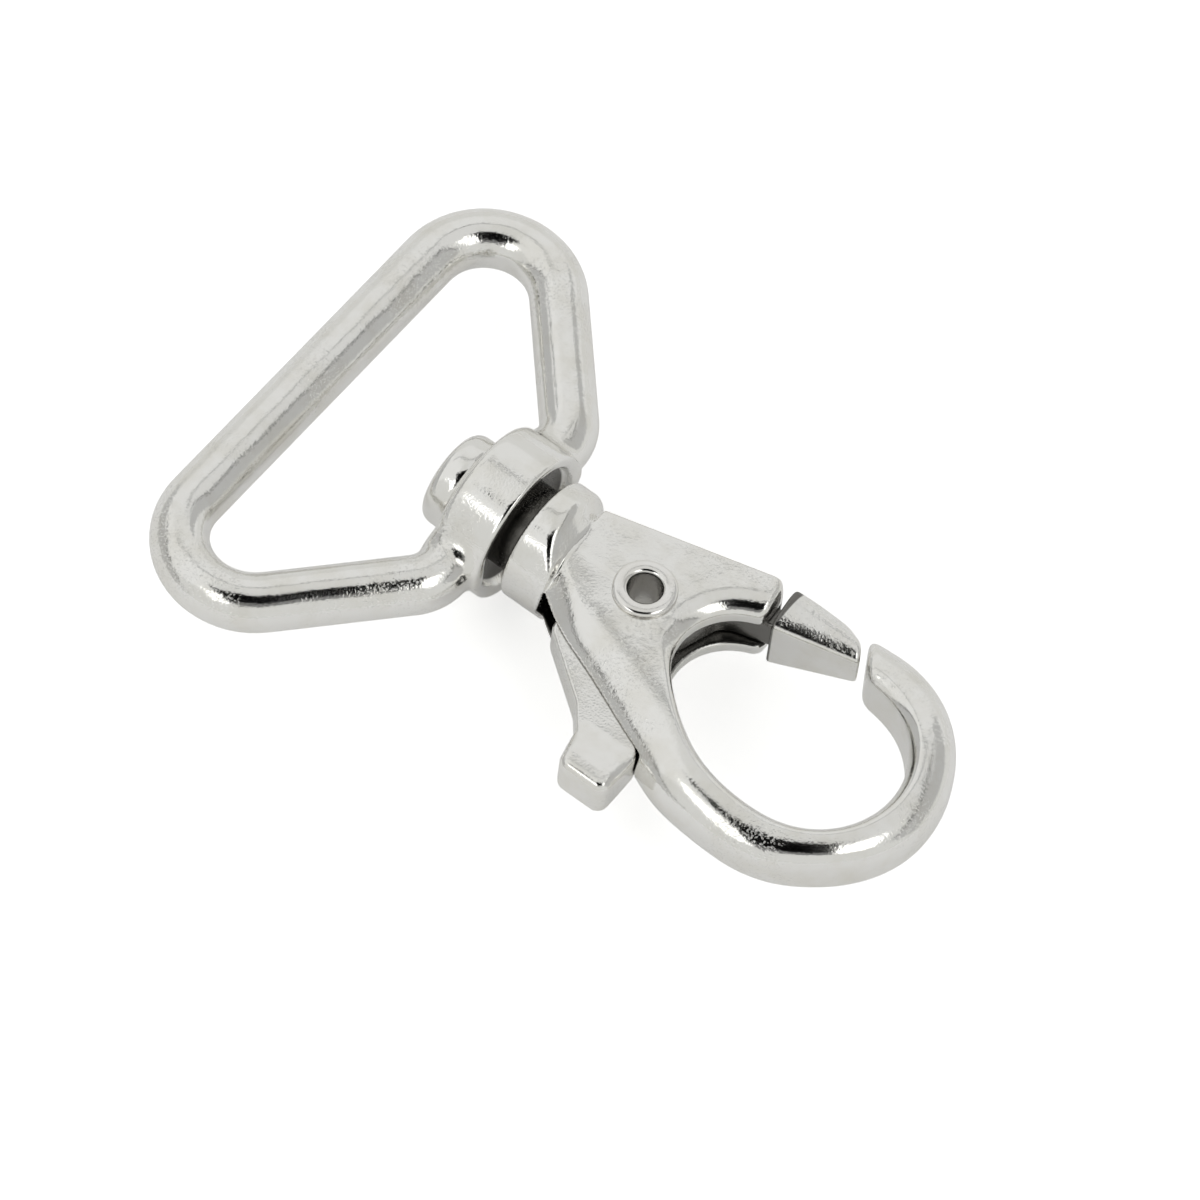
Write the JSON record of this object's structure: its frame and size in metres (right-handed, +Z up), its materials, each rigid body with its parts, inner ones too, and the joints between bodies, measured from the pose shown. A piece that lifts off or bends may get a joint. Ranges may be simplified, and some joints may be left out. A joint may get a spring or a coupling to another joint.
{
  "type": "swivel snap hook",
  "caption": "Nickel-plated cast swivel snap hook with a triangular strap eye and a sprung trigger gate.",
  "frame": {"origin": "on the surface it lies on, at the middle of its length, under the swivel axis", "axes": "+X along the swivel axis from the eye to the nose of the hook, +Y towards the gate, +Z up out of the flat of the plate"},
  "size_m": [0.064, 0.0454, 0.0131],
  "materials": {
    "bright_nickel": "bright nickel plate over a fine-grained zinc casting",
    "lever_nickel": "bright nickel plate over a fine-grained zinc casting",
    "rivet_nickel": "plated tubular rivet with rolled rims",
    "spring_steel": "drawn spring wire"
  },
  "bodies": {
    "hook": {"hook_body": "bright_nickel", "pivot_rivet": "rivet_nickel", "return_spring": "spring_steel"},
    "eye": {"eye_frame": "bright_nickel"},
    "lever": {"trigger_lever": "lever_nickel"}
  },
  "joints": [
    {"name": "eye_swivel", "type": "hinge", "parent": "hook", "child": "eye", "pos_m": [-0.01103, 0, 0.00655], "axis": [1, 0, 0], "continuous": true},
    {"name": "lever_pivot", "type": "hinge", "parent": "hook", "child": "lever", "pos_m": [0.00313, -0.00045, 0.00655], "axis": [0, 0, -1], "range_deg": [0, 26], "stiffness_Nm_per_rad": 0.02, "springref_deg": -20.05, "deforming": ["return_spring"]}
  ]
}
